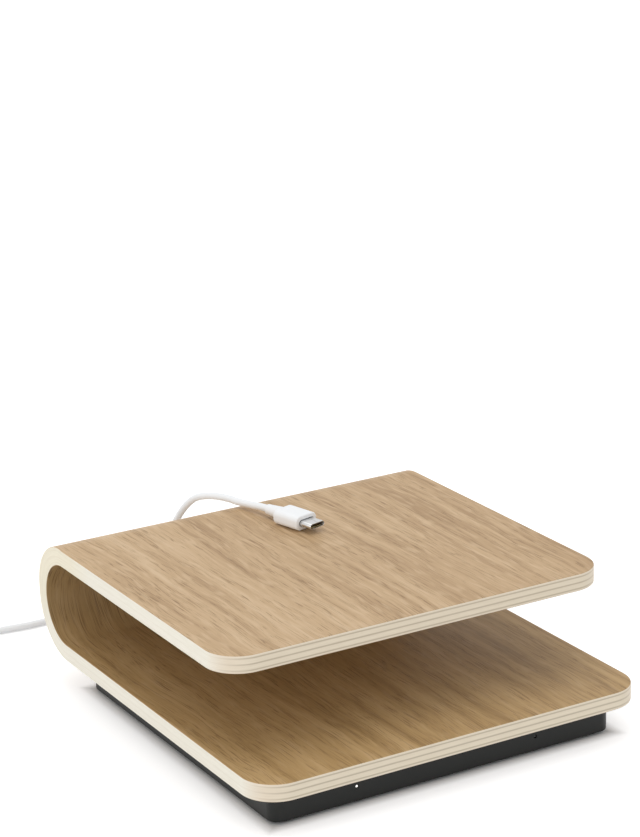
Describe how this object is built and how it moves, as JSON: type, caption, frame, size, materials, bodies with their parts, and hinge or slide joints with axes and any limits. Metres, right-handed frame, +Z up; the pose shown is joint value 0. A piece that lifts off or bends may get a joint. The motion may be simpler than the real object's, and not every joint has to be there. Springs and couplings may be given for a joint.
{
  "type": "wireless charger",
  "caption": "Bent plywood desk charger: an open slot charges phones side by side under a shelf, on a weighted black base with status lights and plug-in leads.",
  "frame": {"origin": "on the desk, under the middle of the plywood shell's outline", "axes": "+Z up, +Y from the open front towards the bend at the back, +X to the right seen from the front"},
  "size_m": [0.2632, 0.2963, 0.0704],
  "materials": {
    "oak_plywood": "satin lacquered oak veneer over pale birch plies",
    "black_plastic": "fine matte moulded",
    "rubber": "matte",
    "screw_steel": "zinc plated",
    "ballast_steel": "cut plate",
    "ferrite": "sintered, matte",
    "copper": "enamelled copper wire",
    "circuit_board": "green solder mask",
    "chip": "moulded",
    "inductor": "pressed powder",
    "tin": "bright can",
    "film": "dipped",
    "white_plastic": "moulded",
    "clear": "clear light pipe",
    "led": "clear resin",
    "ribbon": "flat ribbon",
    "cord": "smooth white jacket",
    "steel": "drawn plug shell",
    "strap": "woven strap"
  },
  "bodies": {
    "charger": {"plywood_shell": "oak_plywood", "base_tray": "black_plastic", "coil_deck": "black_plastic", "ferrite_left": "ferrite", "ferrite_right": "ferrite", "charge_coil_left": "copper", "charge_coil_right": "copper", "ballast_plate": "ballast_steel", "main_board": "circuit_board", "controller_chip": "chip", "coil_driver_left": "chip", "coil_driver_right": "chip", "inductor_left": "inductor", "inductor_right": "inductor", "capacitor_left": "tin", "capacitor_right": "tin", "tuning_capacitor_near_left": "film", "tuning_capacitor_near_right": "film", "tuning_capacitor_far_left": "film", "tuning_capacitor_far_right": "film", "ribbon_socket": "white_plastic", "power_socket": "steel", "output_socket": "steel", "light_board": "circuit_board", "status_led_left": "led", "status_led_right": "led", "light_pipe_left": "clear", "light_pipe_right": "clear", "light_ribbon": "ribbon", "foot_front_left": "rubber", "foot_front_right": "rubber", "foot_rear_left": "rubber", "foot_rear_right": "rubber", "wood_screw_1": "screw_steel", "wood_screw_2": "screw_steel", "wood_screw_3": "screw_steel", "wood_screw_4": "screw_steel", "wood_screw_5": "screw_steel", "wood_screw_6": "screw_steel", "board_screw_1": "screw_steel", "board_screw_2": "screw_steel", "board_screw_3": "screw_steel", "board_screw_4": "screw_steel", "light_screw_left": "screw_steel", "light_screw_right": "screw_steel"},
    "power_lead": {"power_plug_grip": "cord", "power_plug_shell": "steel", "power_cord": "cord", "power_cord_coil": "cord", "cord_tie": "strap", "supply_plug_grip": "cord", "supply_plug_shell": "steel"},
    "charge_lead": {"charge_plug_grip": "cord", "charge_plug_shell": "steel", "charge_cord": "cord", "device_plug_grip": "cord", "device_plug_shell": "steel"}
  },
  "joints": [
    {"name": "power_plug_slide", "type": "slide", "parent": "charger", "child": "power_lead", "axis": [0, 1, 0], "range_m": [0, 0.012]},
    {"name": "charge_plug_slide", "type": "slide", "parent": "charger", "child": "charge_lead", "axis": [0, 1, 0], "range_m": [0, 0.012]}
  ]
}
